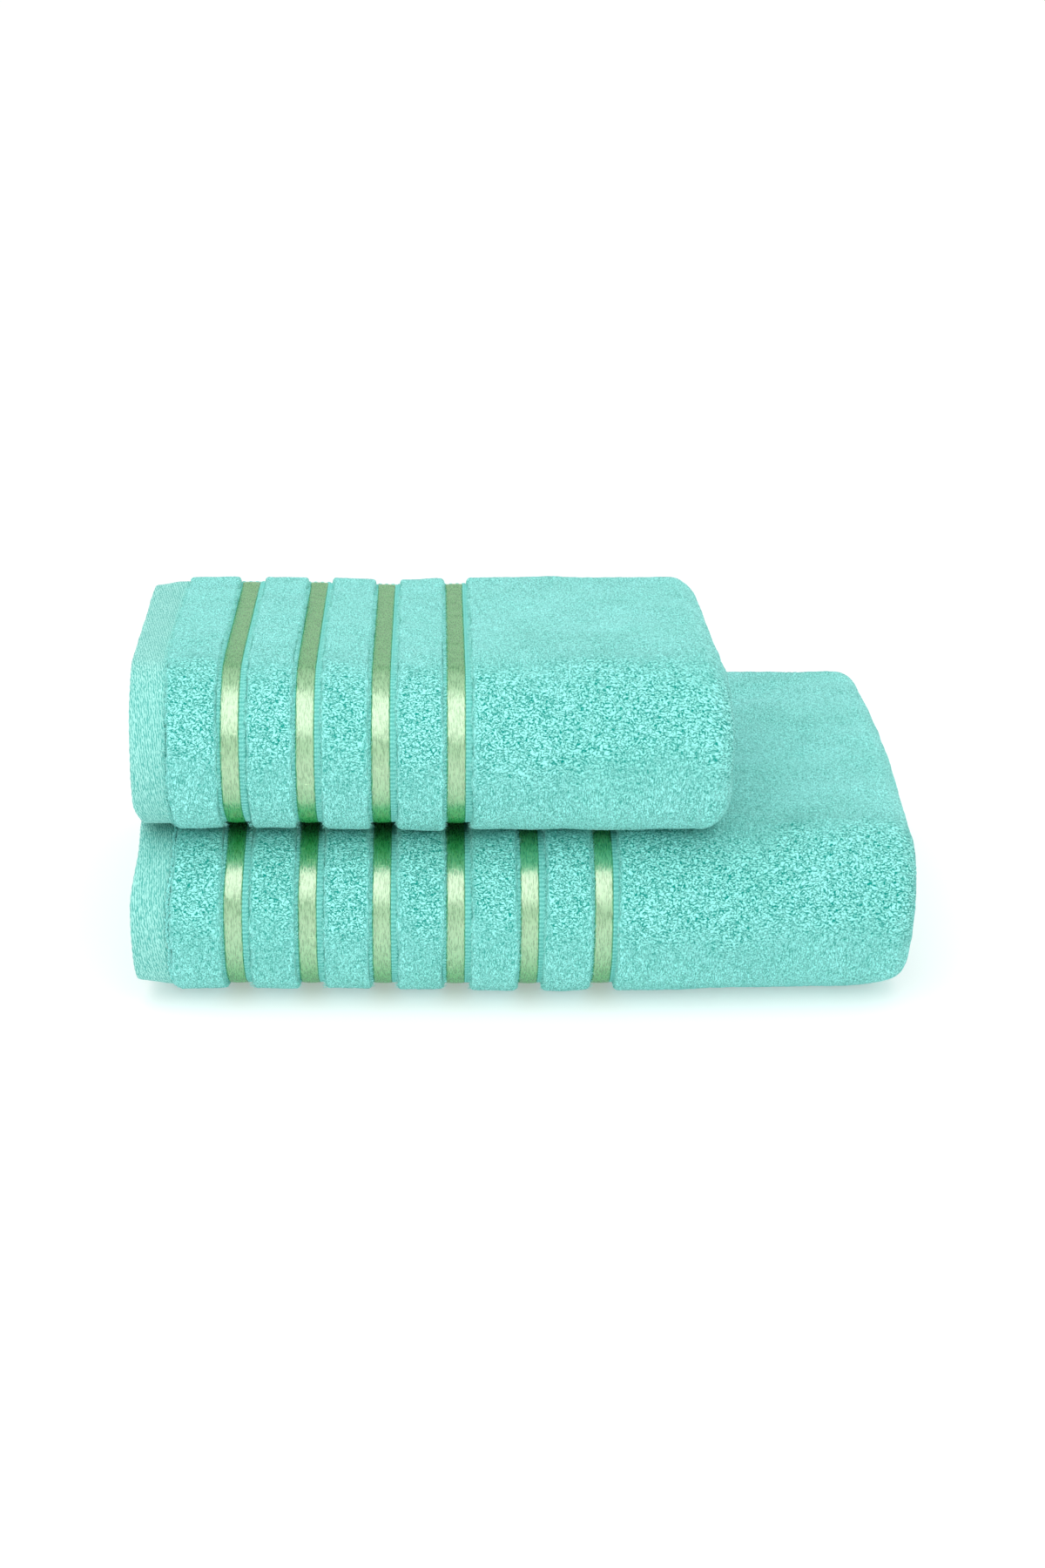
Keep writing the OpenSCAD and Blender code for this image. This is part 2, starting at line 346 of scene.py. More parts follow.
def write_mesh(name, points, faces, cloth, shade):
    """A mesh object from points and lists of faces. cloth and shade are read by the materials."""
    mesh = bpy.data.meshes.new(name)
    mesh.vertices.add(len(points))
    mesh.vertices.foreach_set("co", points.astype(np.float32).ravel())
    corners = np.concatenate([f.ravel() for f in faces])
    sizes = np.concatenate([np.full(len(f), f.shape[1]) for f in faces])
    mesh.loops.add(len(corners))
    mesh.loops.foreach_set("vertex_index", corners.astype(np.int32))
    mesh.polygons.add(len(sizes))
    starts = np.concatenate([[0], np.cumsum(sizes)[:-1]])
    mesh.polygons.foreach_set("loop_start", starts.astype(np.int32))
    mesh.polygons.foreach_set("loop_total", sizes.astype(np.int32))
    mesh.update(calc_edges=True)
    mesh.validate()
    mesh.polygons.foreach_set("use_smooth", np.ones(len(mesh.polygons), bool))
    held = mesh.attributes.new("cloth", "FLOAT_VECTOR", "POINT")
    held.data.foreach_set("vector", cloth.astype(np.float32).ravel())
    for key, values in shade.items():
        held = mesh.attributes.new(key, "FLOAT", "POINT")
        held.data.foreach_set("value", values.astype(np.float32).ravel())
    thing = bpy.data.objects.new(name, mesh)
    bpy.context.scene.collection.objects.link(thing)
    return thing


def grid_faces(index):
    """The quads of a grid of point numbers."""
    corners = [index[:-1, :-1], index[1:, :-1], index[1:, 1:], index[:-1, 1:]]
    return np.stack(corners, axis=-1).reshape(-1, 4)


def zipped(over, under):
    """Triangles and quads that close the gap between two rows of points with shared ends."""
    partner = np.rint(np.linspace(0, len(under) - 1, len(over))).astype(int)
    triangles, quads = [], []
    for i in range(len(over) - 1):
        corners = (over[i], over[i + 1], under[partner[i + 1]], under[partner[i]])
        corners = list(dict.fromkeys(int(c) for c in corners))
        if len(corners) > 2:
            (quads if len(corners) == 4 else triangles).append(corners)
    return [np.array(group) for group in (triangles, quads) if group]


class Skin:
    """One or more closed sleeves of cloth, gathered into one mesh."""

    def __init__(self, towel):
        self.towel = towel
        self.points, self.faces, self.cloth, self.shade = [], {}, [], {"loop": [], "open": []}
        self.count = 0

    def add(self, points, faces, cloth, loop, opened):
        self.points.append(points)
        for f in faces:
            self.faces.setdefault(f.shape[1], []).append(f + self.count)
        self.cloth.append(cloth)
        self.shade["loop"].append(np.ravel(loop))
        self.shade["open"].append(np.ravel(opened))
        self.count += len(points)

    def sleeve(self, outer, inner, across, relief=None, inner_relief=None, end_round=(1.6, 4)):
        """A closed sleeve. outer and inner are profiles of (along, height) that share both ends."""
        n, k, m = len(outer), len(inner), len(across)
        over = self._side(np.asarray(outer, float), across, relief, end_round, 1)
        under = self._side(np.asarray(inner, float), across, inner_relief, end_round, -1)
        facts = [
            np.concatenate([a.reshape(n * m, -1), b[1:-1].reshape((k - 2) * m, -1)])
            for a, b in zip(over, under)
        ]
        index = np.arange(n * m).reshape(n, m)
        below = np.empty((k, m), int)
        below[1:-1] = n * m + np.arange((k - 2) * m).reshape(k - 2, m)
        below[0], below[-1] = index[0], index[-1]
        faces = [grid_faces(index)[:, ::-1], grid_faces(below)]
        for column, flip in ((0, 1), (m - 1, -1)):
            faces += [f[:, ::flip] for f in zipped(index[:, column], below[:, column])]
        self.add(facts[0], faces, *facts[1:])

    def _side(self, profile, across, relief, end_round, facing):
        along, height = profile.T
        step = np.hypot(np.diff(along), np.diff(height))
        run = np.concatenate([[0], np.cumsum(step)]) + along[0]
        slope = np.gradient(profile, axis=0)
        slope /= np.maximum(np.linalg.norm(slope, axis=1, keepdims=True), 1e-9)
        normal = facing * np.stack([-slope[:, 1], slope[:, 0]], axis=1)
        grid_run, grid_across = np.meshgrid(run, across, indexing="ij")
        rise, loop, opened = np.zeros_like(grid_run), np.full_like(grid_run, 0.7), np.zeros_like(grid_run)
        if relief is not None:
            rise, loop, opened = relief(self.towel, grid_run, grid_across)
        radius, power = end_round
        from_end = np.minimum(across - across[0], across[-1] - across)
        ends = (1 - np.clip(1 - from_end / radius, 0, 0.995) ** power) ** (1 / power)
        u = along[:, None] + normal[:, :1] * rise
        h = (height[:, None] + normal[:, 1:] * rise) * ends[None, :]
        points = self.towel.place(u, np.broadcast_to(across, u.shape), h).reshape(u.shape + (3,))
        depth = np.broadcast_to(height[:, None], u.shape)
        return points, np.stack([grid_run, grid_across, depth], axis=-1), loop, opened

    def finish(self, name, material, slot, *nodes):
        shade = {k: np.concatenate(v) for k, v in self.shade.items()}
        faces = [np.concatenate(f) for f in self.faces.values()]
        thing = write_mesh(name, np.concatenate(self.points), faces, np.concatenate(self.cloth), shade)
        thing.data.materials.append(material)
        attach(thing, self.towel.body)
        if nodes:
            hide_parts(*[f"{self.towel.name}_{node}" for node in nodes])
        return thing


def block_profile(begin, end, top, radius, step, lean=0.0):
    """Up a wall, over a top with round corners and down the other wall, from height 0."""
    turn = spaced(0, HALF_PI, step / radius)
    sign = math.copysign(1, top)
    lift = top - sign * radius
    corner = [(radius * (1 - math.cos(a)), lift + sign * radius * math.sin(a)) for a in turn]
    left = [(begin + inset + lean, height) for inset, height in corner]
    right = [(end - inset - lean, height) for inset, height in corner[::-1]]
    wall = spaced(0, lift, step)[:-1]
    left_wall = [(begin + lean * abs(h / lift), h) for h in wall]
    right_wall = [(end - lean * abs(h / lift), h) for h in wall[::-1]]
    middle = [(u, top) for u in spaced(left[-1][0], right[0][0], step)[1:-1]]
    return np.array(left_wall + left + middle + right + right_wall)


# ---------------------------------------------------------------------------------------------
# Relief of the cloth: how far a face stands out, how high its loops are, how open they lie
# ---------------------------------------------------------------------------------------------
def openness(towel, across):
    """The pile opens where the roll bends, most of all at the top of the front fold."""
    turn = towel.front_end - towel.front_start
    from_bend = (across - towel.front_start) / turn - OPEN_AT
    reach = np.where(from_bend < 0, OPEN_ABOVE, OPEN_BELOW)
    return OPEN_FLAT + (1 - OPEN_FLAT) * np.exp(-((from_bend / reach) ** 2))


def terry(towel, run, across):
    """Loop pile: loops, tufts of loops, and slow waves of thickness. Smoother towards an edge."""
    shift_x = 0.7 * smooth_noise(run, across, 5.0, 0)
    shift_y = 0.7 * smooth_noise(run, across, 5.0, 1)
    loop = loops(run + shift_x, across + shift_y, LOOP_PITCH)
    edge = np.minimum(run - run[0, 0], run[-1, 0] - run)
    body = ease(edge, 2.0, 6.5)
    opened = openness(towel, across) + 0.14 * smooth_noise(run, across, 15, 2)
    # Near an edge the pile lies smoother and is drawn less open, so less painted gap shade shows and the
    # edge reads as a lighter rim.
    opened = np.clip(opened, 0, 1) * (0.35 + 0.65 * body)
    rise = LOOP_RISE * (0.55 + 0.45 * opened) * (0.6 + 0.4 * body) * (loop - 0.6)
    rise += TUFT_RISE * smooth_noise(run, across, 3.1, 3)
    side = 0 * run + 40 * (run > run.mean())
    ragged = smooth_noise(side, across, 4.2, 2) + 0.8 * smooth_noise(side, across, 1.5, 3)
    rise += (1 - body) * EDGE_WAVE * ragged
    rise += 0.45 * smooth_noise(run, across, 14, 1) + 0.5 * smooth_noise(run, across, 46, 2)
    return rise, loop, opened


def quiet_terry(towel, run, across):
    """The pile on faces that lie against each other."""
    loop = loops(run, across, 2 * LOOP_PITCH)
    rise = 0.25 * (loop - 0.6) + 0.12 * smooth_noise(run, across, 9, 1)
    return rise, loop, np.full_like(run, 0.3)


def satin_face(towel, run, across):
    """Satin lies flat. Its mirror strength is turned down over the lower part of the front fold and just
    under it: painted shade, carried in the loop attribute.
    """
    rise = 0.08 * smooth_noise(run, across, 6, 2)
    turn = towel.front_end - towel.front_start
    # Painted shade: 1 towards the bottom of the front fold and a little past it, 0 elsewhere.
    painted_shade_mask = ease(across, towel.front_start + 0.42 * turn, towel.front_start + 0.95 * turn)
    painted_shade_mask -= ease(across, towel.front_end + 20, towel.front_end + 60)
    return rise, 1 - painted_shade_mask, np.zeros_like(run)


def puckered(towel, run, across):
    """A hem puckers a little between its stitches and bulges between them."""
    pucker = 0.12 * np.sin(across * 2 * math.pi / STITCH_PITCH)
    rise = pucker + 0.25 * smooth_noise(run, across, 21, 3) + 0.15 * smooth_noise(run, across, 7, 0)
    return rise, np.ones_like(run), np.zeros_like(run)


# ---------------------------------------------------------------------------------------------
# Materials
# ---------------------------------------------------------------------------------------------
class Graph:
    """Short names for the shader nodes used here."""

    def __init__(self, name):
        self.material = bpy.data.materials.new(name)
        self.material.use_nodes = True
        self.tree = self.material.node_tree
        self.shader = self.tree.nodes["Principled BSDF"]

    def node(self, kind, settings=None, **links):
        made = self.tree.nodes.new("ShaderNode" + kind)
        for key, value in (settings or {}).items():
            setattr(made, key, value)
        for key, value in links.items():
            self.set(made.inputs[key.replace("_", " ")], value)
        return made

    def set(self, socket, value):
        if isinstance(value, bpy.types.NodeSocket):
            self.tree.links.new(value, socket)
        else:
            socket.default_value = value

    def attribute(self, name, output="Fac"):
        return self.node("Attribute", {"attribute_name": name}).outputs[output]

    def math(self, operation, first, second=0.0, clamp=False):
        made = self.node("Math", {"operation": operation, "use_clamp": clamp})
        self.set(made.inputs[0], first)
        self.set(made.inputs[1], second)
        return made.outputs[0]

    def scaled(self, vector, scale):
        made = self.node("VectorMath", {"operation": "MULTIPLY"})
        self.set(made.inputs[0], vector)
        made.inputs[1].default_value = scale
        return made.outputs[0]

    def moved(self, vector, shift):
        made = self.node("VectorMath", {"operation": "ADD"})
        self.set(made.inputs[0], vector)
        self.set(made.inputs[1], shift)
        return made.outputs[0]

    def mix(self, factor, low, high):
        made = self.node("Mix", {"data_type": "RGBA"})
        self.set(made.inputs[0], factor)
        self.set(made.inputs[6], low)
        self.set(made.inputs[7], high)
        return made.outputs[2]

    def blend(self, factor, low, high):
        made = self.node("Mix", {"data_type": "FLOAT"})
        for number, v in ((0, factor), (2, low), (3, high)):
            self.set(made.inputs[number], v)
        return made.outputs[0]

    def fit(self, value, low, high, to_low=0.0, to_high=1.0):
        made = self.node("MapRange", {"interpolation_type": "SMOOTHSTEP"})
        for number, v in enumerate((value, low, high, to_low, to_high)):
            self.set(made.inputs[number], v)
        return made.outputs[0]

    def noise(self, vector, scale, detail=2.0, output=0):
        made = self.node("TexNoise", Vector=vector, Scale=scale, Detail=detail)
        return made.outputs[output]

    def bump(self, height, strength, distance):
        made = self.node("Bump", Height=height, Strength=strength, Distance=distance)
        return made.outputs[0]


# Linear colours
TIP_SHADES = ((0.36, 0.95, 0.885, 1), (0.39, 0.985, 0.935, 1))
# The colour of the gaps between loops is painted shade.
PAINTED_GAP_SHADE = (0.002, 0.32, 0.26, 1)
HEM_SHADES = ((0.09, 0.44, 0.39, 1), (0.37, 0.79, 0.72, 1))
GROUND_SHADES = ((0.06, 0.42, 0.37, 1), (0.26, 0.70, 0.63, 1))
FIBRE_SHADES = ((0.30, 0.85, 0.78, 1), (0.42, 0.97, 0.92, 1))
THREAD_SHADES = ((0.22, 0.66, 0.6, 1), (0.42, 0.88, 0.81, 1))
# The darker of the rib colours is painted shade between the ribs.
RIB_SHADES = ((0.05, 0.37, 0.33, 1), (0.30, 0.80, 0.73, 1))
SATIN_SHADES = ((0.008, 0.22, 0.05, 1), (0.03, 0.38, 0.09, 1))
SATIN_FLECK = (0.45, 0.75, 0.36, 1)
SATIN_MIRROR = (0.93, 1.0, 0.82, 1)

# Scales of the noise in the terry, per millimetre: short strokes, and the curled gaps between loops
CLOSED_PILE = ((1.9, 0.62, 0.3), (1.5, 0.85, 0.3))
OPEN_PILE = ((0.95, 2.1, 0.3), (0.62, 1.15, 0.3))


def terry_material():
    """Loops with dark curled gaps, their darkness painted shade: small and close on flat cloth, and in rows
    where the pile opens.
    """
    g = Graph("terry_pile")
    cloth = g.attribute("cloth", "Vector")
    wander = g.scaled(g.moved(g.noise(cloth, 0.35, 1.5, 1), (-0.5, -0.5, -0.5)), (1.6, 1.6, 1.0))
    warped = g.moved(cloth, wander)
    opened = g.attribute("open")
    bend = g.fit(opened, 0.45, 0.95)
    patterns = []
    for dash, curl in (CLOSED_PILE, OPEN_PILE):
        strokes = g.fit(g.noise(g.scaled(warped, dash), 1.0, 1.2), 0.50, 0.40)
        level = g.noise(g.scaled(warped, curl), 1.0, 1.5)
        gaps = g.fit(g.math("ABSOLUTE", g.math("SUBTRACT", level, 0.5)), 0.075, 0.02)
        strokes = g.math("MULTIPLY", strokes, 0.5)
        patterns.append(g.math("ADD", strokes, g.math("MULTIPLY", gaps, 0.8), True))
    dark = g.blend(bend, *patterns)
    # The painted gap shade is deeper where the pile opens.
    depth = g.fit(opened, 0.15, 0.9, 0.68, 1.05)
    light = g.math("SUBTRACT", 1.0, g.math("MULTIPLY", dark, depth), True)
    # Where the mesh's loops dip, the colour darkens a little: painted shade.
    loop = g.fit(g.attribute("loop"), 0.0, 0.7, 0.88, 1.0)
    slow = g.fit(g.noise(cloth, 0.03, 2.0), 0.3, 0.7)
    tip = g.mix(slow, *TIP_SHADES)
    shade = g.mix(g.math("MULTIPLY", light, loop), PAINTED_GAP_SHADE, tip)
    g.set(g.shader.inputs["Base Color"], shade)
    fibre = g.noise(cloth, 2.6, 2.0)
    bumps = g.math("ADD", light, g.math("MULTIPLY", fibre, 0.25))
    g.set(g.shader.inputs["Normal"], g.bump(bumps, 0.75, 0.0006))
    g.shader.inputs["Roughness"].default_value = 0.95
    g.shader.inputs["Specular IOR Level"].default_value = 0.1
    g.shader.inputs["Sheen Weight"].default_value = 0.25
    g.shader.inputs["Sheen Roughness"].default_value = 0.45
    g.shader.inputs["Sheen Tint"].default_value = (0.75, 1.0, 0.97, 1)
    return g.material


def woven_material(name, shades, across_scale, along_scale, rise):
    """A flat weave: short floats of thread, broken by slightly slanted cords."""
    g = Graph(name)
    cloth = g.attribute("cloth", "Vector")
    leaning = g.node("Mapping", Vector=cloth)
    leaning.inputs["Rotation"].default_value = (0, 0, 0.16)
    floats = g.noise(g.scaled(leaning.outputs[0], (across_scale, along_scale, 0.2)), 1.0, 2.0)
    cords = g.node("TexWave", Vector=leaning.outputs[0], Scale=0.3, Distortion=5.0, Detail=2.0)
    cords.inputs["Detail Scale"].default_value = 2.5
    lines = g.fit(cords.outputs[1], 0.0, 1.0, 0.30, 0.64)
    grain = g.math("ADD", g.math("MULTIPLY", floats, 0.6), g.math("MULTIPLY", lines, 0.4))
    factor = g.fit(grain, 0.40, 0.56)
    slow = g.fit(g.noise(cloth, 0.05, 2.0), 0.3, 0.7, 0.85, 1.0)
    g.set(g.shader.inputs["Base Color"], g.mix(g.math("MULTIPLY", factor, slow), *shades))
    g.set(g.shader.inputs["Normal"], g.bump(grain, 0.7, rise))
    g.shader.inputs["Roughness"].default_value = 0.8
    g.shader.inputs["Specular IOR Level"].default_value = 0.25
    g.shader.inputs["Sheen Weight"].default_value = 0.2
    g.shader.inputs["Sheen Roughness"].default_value = 0.5
    g.shader.inputs["Sheen Tint"].default_value = (0.8, 1.0, 0.97, 1)
    return g.material


def satin_material():
    """A deep green ribbon whose floats mirror the light in short streaks."""
    g = Graph("satin_band")
    cloth = g.attribute("cloth", "Vector")
    streaks = g.noise(g.scaled(cloth, (1.9, 0.33, 0.2)), 1.0, 1.0)
    grains = g.noise(g.scaled(cloth, (2.8, 0.6, 0.2)), 1.0, 1.0)
    grain = g.math("ADD", g.math("MULTIPLY", streaks, 0.5), g.math("MULTIPLY", grains, 0.5))
    flecks = g.fit(g.noise(g.scaled(cloth, (0.22, 2.4, 0.0)), 1.0, 2.0), 0.68, 0.74)
    base = g.mix(g.fit(grain, 0.38, 0.6), *SATIN_SHADES)
    g.set(g.shader.inputs["Base Color"], g.mix(flecks, base, SATIN_FLECK))
    g.set(g.shader.inputs["Normal"], g.bump(grain, 0.6, 0.0005))
    g.set(g.shader.inputs["Roughness"], g.fit(grain, 0.3, 0.7, 0.24, 0.34))
    g.shader.inputs["IOR"].default_value = 2.8
    # The loop attribute turns the mirror strength down at the bottom of the front fold: painted shade.
    painted_shade_factor = g.fit(g.attribute("loop"), 0.0, 1.0, 0.26, 1.0)
    level = g.math("MULTIPLY", g.fit(grain, 0.38, 0.56, 0.70, 1.0), painted_shade_factor)
    g.set(g.shader.inputs["Specular IOR Level"], level)
    g.shader.inputs["Specular Tint"].default_value = SATIN_MIRROR
    return g.material


def rib_material():
    """The ribbed edging: its own tone on the ribs, with painted shade between them."""
    g = Graph("ribbed_edging")
    cloth = g.attribute("cloth", "Vector")
    fibre = g.noise(g.scaled(cloth, (2.0, 2.0, 1.0)), 1.0, 2.0)
    factor = g.math("MULTIPLY", g.attribute("loop"), g.fit(fibre, 0.2, 0.6, 0.75, 1.0))
    g.set(g.shader.inputs["Base Color"], g.mix(factor, *RIB_SHADES))
    g.set(g.shader.inputs["Normal"], g.bump(fibre, 0.4, 0.0003))
    g.shader.inputs["Roughness"].default_value = 0.85
    g.shader.inputs["Specular IOR Level"].default_value = 0.2
    return g.material


TERRY = terry_material()
HEM = woven_material("hem_weave", HEM_SHADES, 2.4, 0.7, 0.0007)
GROUND = woven_material("ground_weave", GROUND_SHADES, 1.2, 1.2, 0.0004)
FUZZ = woven_material("loose_fibre", FIBRE_SHADES, 1.0, 1.0, 0.0001)
THREAD = woven_material("stitching", THREAD_SHADES, 2.0, 2.0, 0.0003)
SATIN = satin_material()
RIBS = rib_material()


# ---------------------------------------------------------------------------------------------
# Pieces of a towel
# ---------------------------------------------------------------------------------------------
STITCH_PITCH = 3.2
STITCH_LONG = 2.3
STITCH_R = 0.32
STITCH_RISE = 0.12
SATIN_T = 0.55
SATIN_CROWN = 0.2
SATIN_SHIFT = 0.5
HEM_PRESS = 0.5
STRIPE_SPREAD = 0.7
STRIP_END = (0.5, 2)  # how the ends of satin and edging round off: radius and power
EDGING_T = 0.1
EDGING_LEFT = 1.8
EDGING_RIGHT = 2.9
RIB_PITCH = 1.5
CORD_PITCH = 1.2
FRINGE_ROOM = 0.35  # the share of the fringe's width that the first stripe leaves free
FRINGE_PITCH = 1.15
FRINGE_RISE = 0.9
FRINGE_LONG = 1.8
FRINGE_R = 0.85
FRINGE_TILT = 1.0
FUZZ_PER_MM = 2.2
FUZZ_FROM = 30.0
FUZZ_CLEAR = 14.0
FUZZ_RINGS = 4
FUZZ_R = 0.1
FUZZ_TAPER = 0.55
FUZZ_ROOT = 0.5
FUZZ_HEIGHT = (0.45, 1.0)  # as shares of the pile's height
FUZZ_LONG = (0.9, 2.1)
FUZZ_SPREAD = (0.8, 0.35, 0.5)  # of lean, rise and bend


def roll_stations(towel, start, end, top, front, bottom, back, inside):
    """Positions across the towel, with a spacing for each layer and fold of the roll."""
    return joined(
        spaced(start, towel.front_start, top),
        spaced(towel.front_start, towel.front_end + 3, front),
        spaced(towel.front_end + 3, towel.back_start - 3, bottom),
        spaced(towel.back_start - 3, towel.back_end, back),
        spaced(towel.back_end, end, inside),
    )


def pile_stations(towel):
    start, end = PILE_FROM_EDGE, towel.roll_path.length - PILE_FROM_EDGE
    return roll_stations(towel, start, end, towel.top_step, FINE, UNDER, BACK, UNDER)


def ply_stations(towel, begin, end, flat, fold, margin=0.0):
    """Positions along the towel from begin to end, closer on the lengthwise folds."""
    folds = [(towel.wrap_start, towel.wrap_end), (towel.tuck_start, towel.tuck_end)]
    folds += [towel.turn] if towel.turn else []
    pieces, here = [], begin
    for low, high in folds:
        low, high = low - margin, high + margin
        if low > here:
            pieces.append(spaced(here, low, flat))
            here = low
        if high > here:
            pieces.append(spaced(here, high, fold))
            here = high
    pieces.append(spaced(here, end, flat))
    return joined(*pieces)


def flat_sleeve(along, half):
    """The two profiles of a strip of cloth of even thickness, pinched at both ends."""
    outer = [(along[0], 0)] + [(u, half) for u in along[1:-1]] + [(along[-1], 0)]
    return outer, [(u, -h) for u, h in outer]


def ground_cloth(towel):
    """The whole woven sheet, folded along every ply and rolled across."""
    skin = Skin(towel)
    along = ply_stations(towel, 0, towel.ply_path.length, 6.0, 0.9)
    across = roll_stations(towel, HEM_LIP, towel.roll_path.length - HEM_LIP, 4.0, 3.0, 5.0, 2.5, 5.0)
    skin.sleeve(*flat_sleeve(along, GROUND_T / 2), across, end_round=(0.6, 2))
    return skin.finish(f"{towel.name}_cloth", GROUND, "ground_weave", "ground_cloth")


def pile_stripe(towel, number):
    begin, end = towel.along(f"pile_stripe_{number}")
    if number == 1:
        begin += FRINGE_ROOM * towel.fringe_w - HEM_PRESS
    skin = Skin(towel)
    outer = block_profile(begin, end + STRIPE_SPREAD, GROUND_T / 2 + towel.pile, 1.7, FINE, 0.2)
    inner_pile = -GROUND_T / 2 - towel.inner_pile + PLY_GAP / 2
    below = block_profile(begin, end + STRIPE_SPREAD, inner_pile, 1.2, UNDER)
    skin.sleeve(outer, below, pile_stations(towel), terry)
    return skin.finish(f"{towel.name}_terry_stripe_{number}", TERRY, "terry_pile", f"pile_stripe_{number}")


def pile_field(towel):
    """The plain field: a fine sleeve round the lengthwise fold, and a plainer one on the inner plies."""
    skin = Skin(towel)
    begin = towel.field_start()
    seen = towel.wrap_end + 14
    high, low = GROUND_T / 2 + towel.pile, GROUND_T / 2 + towel.inner_pile - PLY_GAP / 2
    outer = block_profile(begin, seen, high, 1.7, FINE, 0.2)
    outer[:, 1] *= 1 - (1 - low / high) * ease(outer[:, 0], towel.wrap_start - 6, towel.wrap_end)
    skin.sleeve(outer, block_profile(begin, seen, -low, 1.2, 1.5), pile_stations(towel), terry)
    length = towel.ply_path.length - towel.hem_w + HEM_LIP
    along = ply_stations(towel, seen + 0.6, length, HIDDEN, PLY_END, 4.0)
    start, end = PILE_FROM_EDGE, towel.roll_path.length - PILE_FROM_EDGE
    across = roll_stations(towel, start, end, 2.4, 2.0, HIDDEN, 1.6, HIDDEN)
    skin.sleeve(*flat_sleeve(along, low), across, quiet_terry, quiet_terry)
    return skin.finish(f"{towel.name}_terry_field", TERRY, "terry_pile", "pile_field")


def thin_strip(begin, end, top, step, crown=0.0):
    """The two profiles of a narrow strip that lies on the ground weave."""
    width = end - begin
    rounded = [(u, top + crown * math.sin(math.pi * (u - begin) / width)) for u in spaced(begin, end, step)]
    outer = [(begin - 0.1, 0)] + rounded + [(end + 0.1, 0)]
    return outer, [(begin - 0.1, 0), (begin, -0.1), (end, -0.1), (end + 0.1, 0)]


def satin_band(towel, number):
    begin, end = towel.along(f"satin_band_{number}")
    begin, end = begin - SATIN_SHIFT, end - SATIN_SHIFT
    skin = Skin(towel)
    start, stop = PILE_FROM_EDGE - 4, towel.roll_path.length - PILE_FROM_EDGE
    across = roll_stations(towel, start, stop, 1.3, 1.1, UNDER, 2.0, HIDDEN)
    strip = thin_strip(begin, end, GROUND_T / 2 + SATIN_T, 0.7, SATIN_CROWN)
    skin.sleeve(*strip, across, satin_face, end_round=STRIP_END)
    return skin.finish(f"{towel.name}_satin_ribbon_{number}", SATIN, "satin_band", f"satin_band_{number}")


def edging(towel, number):
    """The ribbed strips on both sides of a satin band."""
    left, right = towel.along(f"satin_band_{number}")
    left, right = left - SATIN_SHIFT, right - SATIN_SHIFT
    skin = Skin(towel)
    start, stop = PILE_FROM_EDGE - 4, towel.roll_path.length - PILE_FROM_EDGE
    across = roll_stations(towel, start, stop, towel.top_step * 0.8, 0.42, UNDER, 0.8, HIDDEN)

    def ribs(_, run, place):
        wave = 0.5 + 0.5 * np.cos(place * 2 * math.pi / RIB_PITCH + 0.9 * smooth_noise(run, place, 8))
        cord = 0.5 + 0.5 * np.cos((run - run[0, 0]) * 2 * math.pi / CORD_PITCH)
        loop = wave * (0.55 + 0.45 * cord)
        # The second value darkens the colour between the ribs: painted shade.
        return 0.4 * loop, 0.25 + 0.75 * loop, np.zeros_like(run)

    for begin, end in ((left - EDGING_LEFT, left - 0.1), (right + 0.1, right + EDGING_RIGHT)):
        strip = thin_strip(begin, end, GROUND_T / 2 + EDGING_T, 0.35)
        skin.sleeve(*strip, across, ribs, end_round=STRIP_END)
    return skin.finish(f"{towel.name}_ribbed_edging_{number}", RIBS, "ground_weave")


def hem_profile(begin, end, half, step, closed_left):
    """One face of a hem: round where it doubles back, and a low step where it ends on the cloth."""
    turn = spaced(0, HALF_PI, 0.35)
    sign = math.copysign(1, half)
    tall = abs(half)
    if closed_left:
        fold = [(begin + tall * (1 - math.cos(a)), sign * tall * math.sin(a)) for a in turn]
        flat = [(u, half) for u in spaced(begin + tall, end - 0.6, step)[1:]]
        return np.array(fold + flat + [(end - 0.15, half * 0.8), (end, half * 0.4), (end + 0.05, 0)])
    fold = [(end - tall * (1 - math.cos(a)), sign * tall * math.sin(a)) for a in turn[::-1]]
    flat = [(u, half) for u in spaced(begin + 0.6, end - tall, step)[:-1]]
    return np.array([(begin - 0.05, 0), (begin, half * 0.4), (begin + 0.15, half * 0.8)] + flat + fold)


def end_hem(towel):
    skin = Skin(towel)
    outer = hem_profile(-HEM_LIP, towel.hem_w - HEM_LIP, HEM_T / 2, 1.0, True)
    across = roll_stations(towel, 0, towel.roll_path.length, 1.0, 0.9, 2.0, 1.5, 2.0)
    skin.sleeve(outer, outer * [1, -1], across, puckered, puckered, (1.2, 2.5))
    return skin.finish(f"{towel.name}_border_hem", HEM, "hem_weave", "end_hem")


def far_end_hem(towel):
    skin = Skin(towel)
    end = towel.ply_path.length + HEM_LIP
    outer = hem_profile(end - towel.hem_w, end, HEM_T / 2, 1.6, False)
    across = roll_stations(towel, 0, towel.roll_path.length, 2.0, 1.6, 3.0, 2.0, 3.0)
    skin.sleeve(outer, outer * [1, -1], across, puckered, puckered, (1.2, 2.5))
    return skin.finish(f"{towel.name}_inside_hem", HEM, "hem_weave", "far_end_hem")


def side_hem(towel, place, node):
    """The hem of a long edge, through every ply of the bundle."""
    skin = Skin(towel)
    low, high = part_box(f"{towel.name}_{node}")
    width = (high[1] - low[1]) / MM
    begin, end = towel.hem_w - HEM_LIP, towel.ply_path.length - towel.hem_w + HEM_LIP
    along = ply_stations(towel, begin, end, 1.8, 0.9)
    edges = [0, 0.15, 0.4, 0.8, 1.3, 2.0, 3.2, 4.6, 6.0]
    across = np.array([e for e in edges if e < width - 0.8] + [width - 0.4, width])
    if place == "inner":
        across = towel.roll_path.length - across[::-1]
    skin.sleeve(*flat_sleeve(along, HEM_T / 2), across, puckered, puckered, (1.2, 2))
    return skin.finish(f"{towel.name}_{place}_side_edge", HEM, "hem_weave", node)


